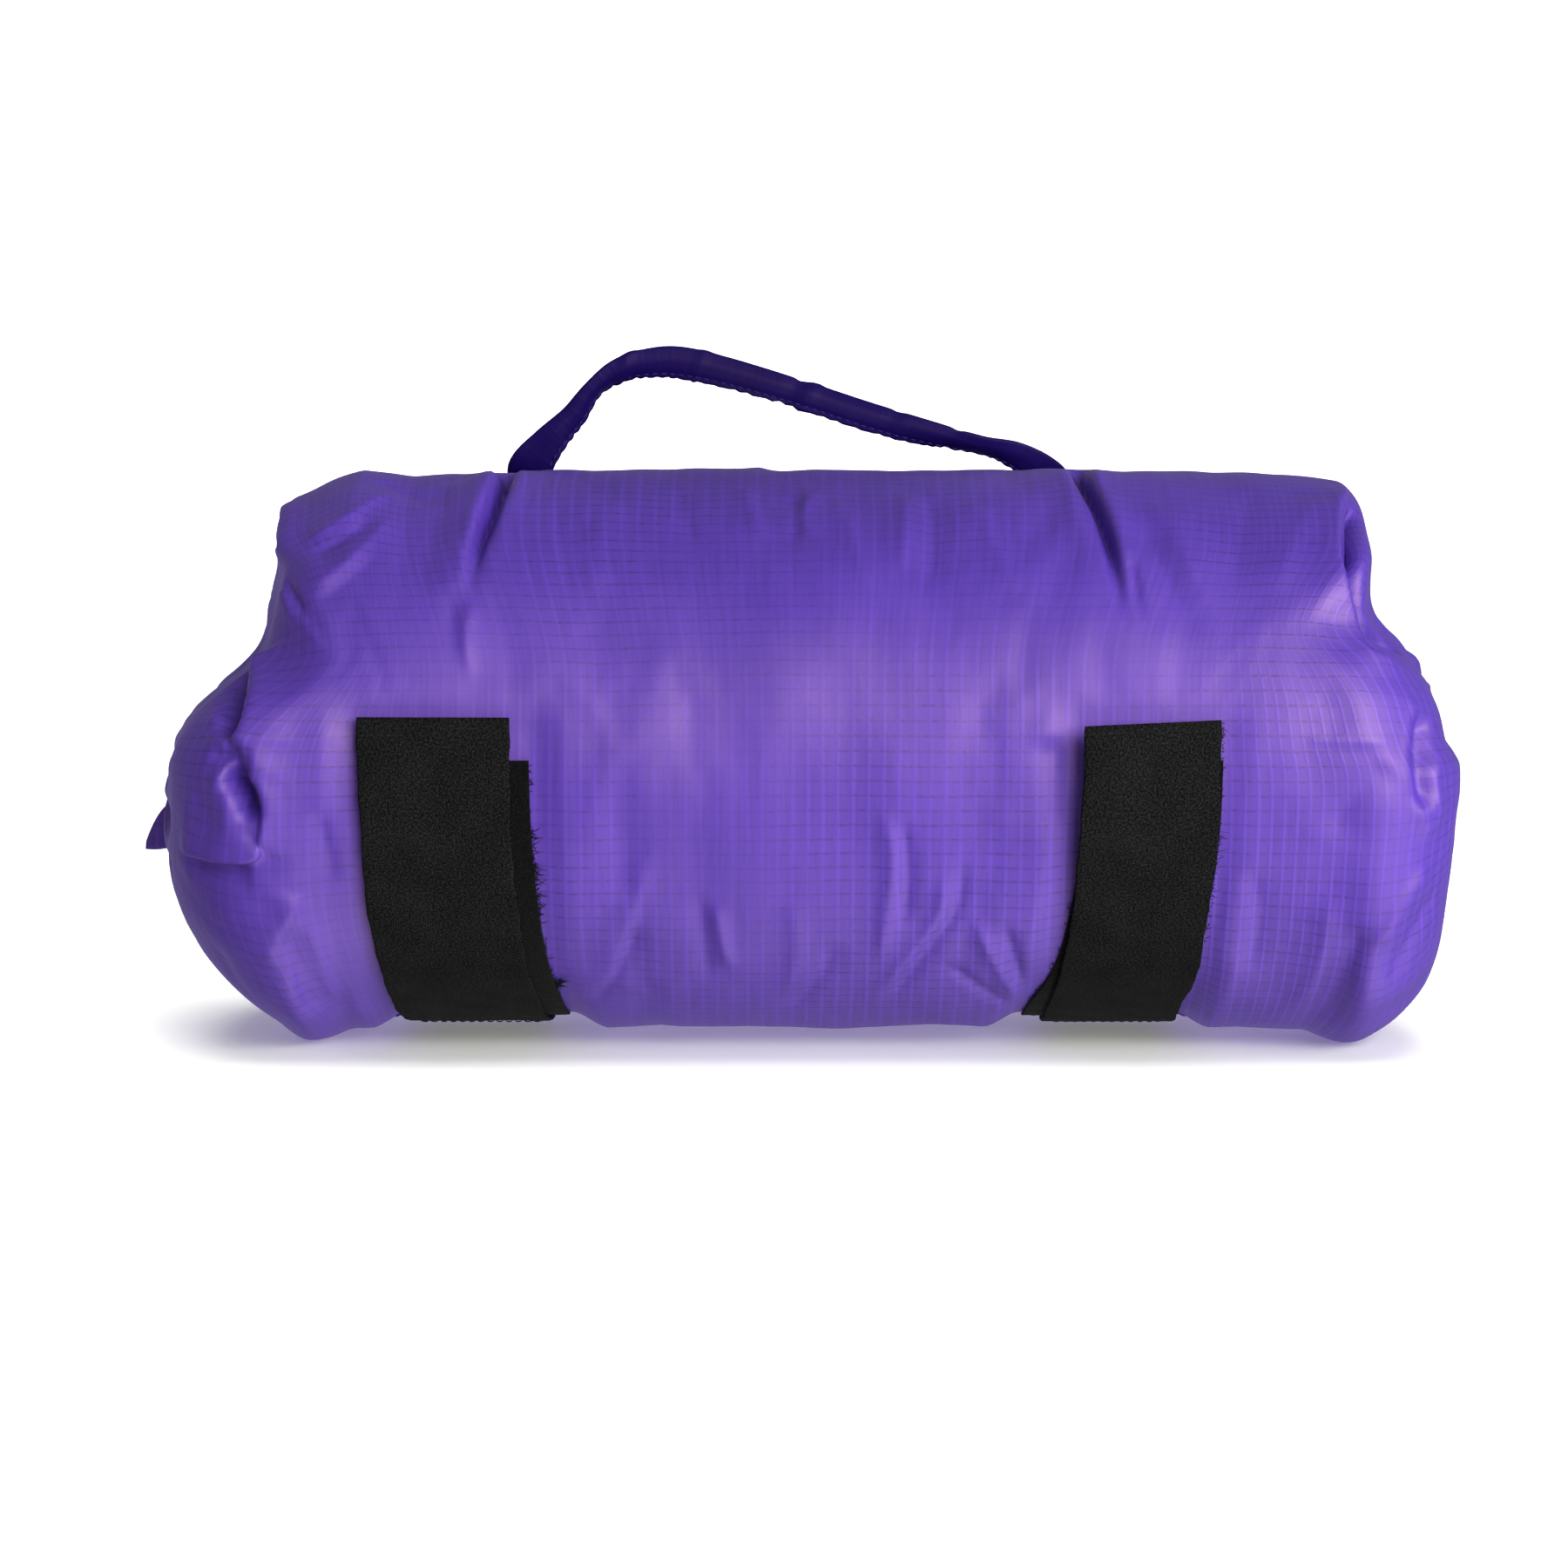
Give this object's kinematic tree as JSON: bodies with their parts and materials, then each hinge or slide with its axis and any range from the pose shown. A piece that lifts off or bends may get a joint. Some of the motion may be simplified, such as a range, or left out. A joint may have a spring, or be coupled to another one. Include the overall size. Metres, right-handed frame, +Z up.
{
  "type": "compression sack",
  "caption": "Soft packed ripstop roll with tucked ends, hook-and-loop straps round its front and a fabric carry handle on top.",
  "frame": {"origin": "middle of the footprint of the whole sack, on the surface that it stands on", "axes": "+X along the roll from the mouth end with the tab to the sewn end, +Y away from the strapped front, +Z up"},
  "size_m": [0.453, 0.1982, 0.2383],
  "materials": {
    "ripstop": "satin purple ripstop nylon with a 5 mm grid",
    "handle_cloth": "folded satin purple ripstop nylon",
    "strap_webbing": "matte black fine weave",
    "hook_tape": "black hook tape",
    "loop_tape": "fuzzy black loop tape",
    "purple_thread": "purple polyester thread",
    "black_thread": "black polyester thread",
    "load_cloth": "soft bundled cloth"
  },
  "bodies": {
    "sack": {"sack_body_tube": "ripstop", "left_end_gather": "ripstop", "right_end_gather": "ripstop", "left_mouth_tuck": "ripstop", "right_end_tuck": "ripstop", "back_seam_binding": "ripstop", "packed_load": "load_cloth", "left_loop_strip": "loop_tape", "left_strap_patch": "ripstop", "left_strap_root": "strap_webbing", "left_strap_bartack": "black_thread", "right_loop_strip": "loop_tape", "right_strap_patch": "ripstop", "right_strap_root": "strap_webbing", "right_strap_bartack": "black_thread", "left_handle_patch": "ripstop", "left_handle_foot": "handle_cloth", "left_handle_bartack": "purple_thread", "right_handle_patch": "ripstop", "right_handle_foot": "handle_cloth", "right_handle_bartack": "purple_thread"},
    "handle": {"carry_handle": "handle_cloth"},
    "left_strap": {"left_hook_strap": "strap_webbing", "left_hook_tape": "hook_tape"},
    "right_strap": {"right_hook_strap": "strap_webbing", "right_hook_tape": "hook_tape"},
    "tab": {"end_tab": "handle_cloth"}
  },
  "joints": [
    {"name": "handle_swing", "type": "hinge", "parent": "sack", "child": "handle", "pos_m": [-0.0015, 0.02814, 0.2025], "axis": [1, 0, 0], "range_deg": [-100, 86]},
    {"name": "left_strap_peel", "type": "hinge", "parent": "sack", "child": "left_strap", "pos_m": [-0.1115, -0.06524, 0.02667], "axis": [1, 0, 0], "range_deg": [0, 82]},
    {"name": "right_strap_peel", "type": "hinge", "parent": "sack", "child": "right_strap", "pos_m": [0.1103, -0.06524, 0.02667], "axis": [1, 0, 0], "range_deg": [0, 82]},
    {"name": "end_tab_flop", "type": "hinge", "parent": "sack", "child": "tab", "pos_m": [-0.2179, 0.01014, 0.073], "axis": [0, 0, 1], "range_deg": [-50, 50]}
  ]
}
